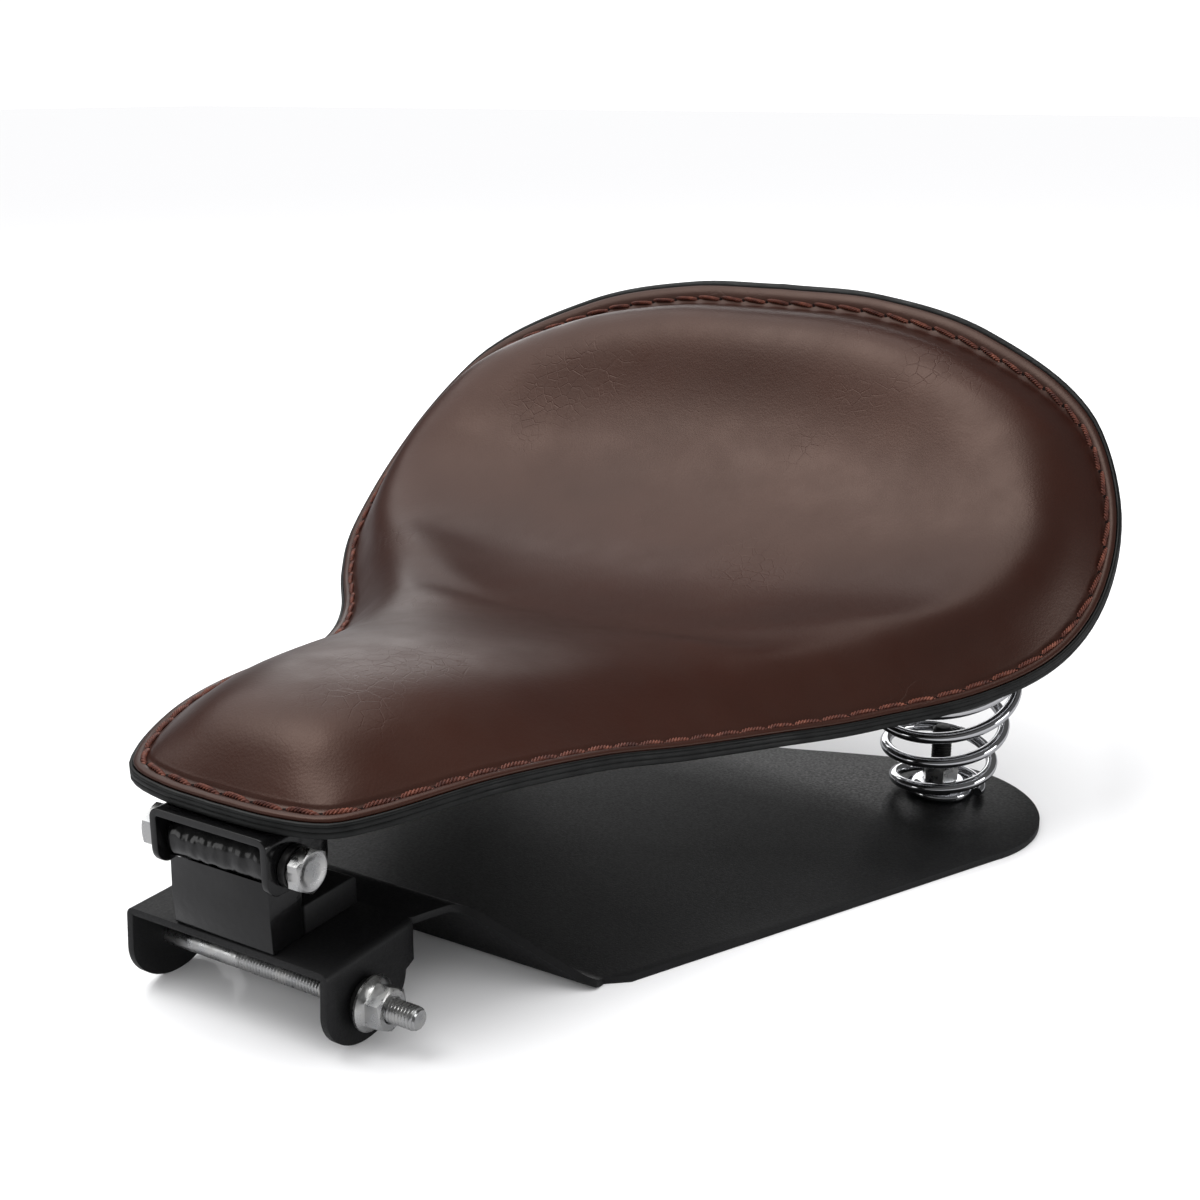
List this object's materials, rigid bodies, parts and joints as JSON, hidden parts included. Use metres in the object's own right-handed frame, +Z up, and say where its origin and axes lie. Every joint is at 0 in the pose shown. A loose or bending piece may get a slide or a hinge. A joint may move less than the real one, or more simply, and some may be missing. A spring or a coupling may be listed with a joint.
{
  "type": "sprung motorcycle seat",
  "caption": "Sprung solo motorcycle seat: stitched leather pad on a steel pan, nose hinge, conical coil springs and a folded base plate.",
  "frame": {"origin": "on the underside of the base plate, under the middle of the seat's length, on the plane of symmetry", "axes": "+Z up, -Y to the nose and +Y to the tail, +X to the side of the frame nut"},
  "size_m": [0.362, 0.3908, 0.1916],
  "materials": {
    "powder_coat": "matte black powder coat with a fine grain",
    "gloss_paint": "glossy black enamel, slightly rippled",
    "zinc_plate": "bright zinc plating",
    "chrome": "mirror chrome",
    "black_oxide": "black oxide",
    "brown_leather": "smooth dark brown leather with a fine grain",
    "black_leather": "black leather with painted edges",
    "steel_pan": "painted steel pressing",
    "foam": "open cell foam",
    "thread": "waxed reddish brown thread",
    "nylon": "natural nylon"
  },
  "bodies": {
    "base": {"base_plate": "powder_coat", "pedestal_brace": "powder_coat", "frame_bolt": "zinc_plate", "frame_nut": "zinc_plate", "frame_spacer": "black_oxide", "pivot_pedestal": "gloss_paint", "pivot_tube": "gloss_paint", "pivot_bush_left": "nylon", "pivot_bush_right": "nylon", "spring_left": "chrome", "lower_stud_left": "black_oxide", "lower_cup_left": "chrome", "lower_nut_left": "zinc_plate", "spring_right": "chrome", "lower_stud_right": "black_oxide", "lower_cup_right": "chrome", "lower_nut_right": "zinc_plate"},
    "seat": {"pivot_bolt": "zinc_plate", "pivot_nut": "zinc_plate", "pivot_washer_head": "black_oxide", "pivot_washer_nut": "zinc_plate", "seat_clevis": "gloss_paint", "clevis_screw_left": "black_oxide", "clevis_screw_right": "black_oxide", "bottom_leather": "black_leather", "seat_pan": "steel_pan", "foam_pad": "foam", "leather_cover": "brown_leather", "edge_binding": "black_leather", "stitch_thread": "thread", "upper_retainer_left": "powder_coat", "upper_bolt_left": "zinc_plate", "upper_retainer_right": "powder_coat", "upper_bolt_right": "zinc_plate"}
  },
  "joints": [
    {"name": "seat_tilt", "type": "hinge", "parent": "base", "child": "seat", "pos_m": [0, -0.185, 0.0585], "axis": [-1, 0, 0], "range_deg": [-1.5, 5], "stiffness_Nm_per_rad": 2000, "deforming": ["spring_left", "spring_right"]}
  ]
}
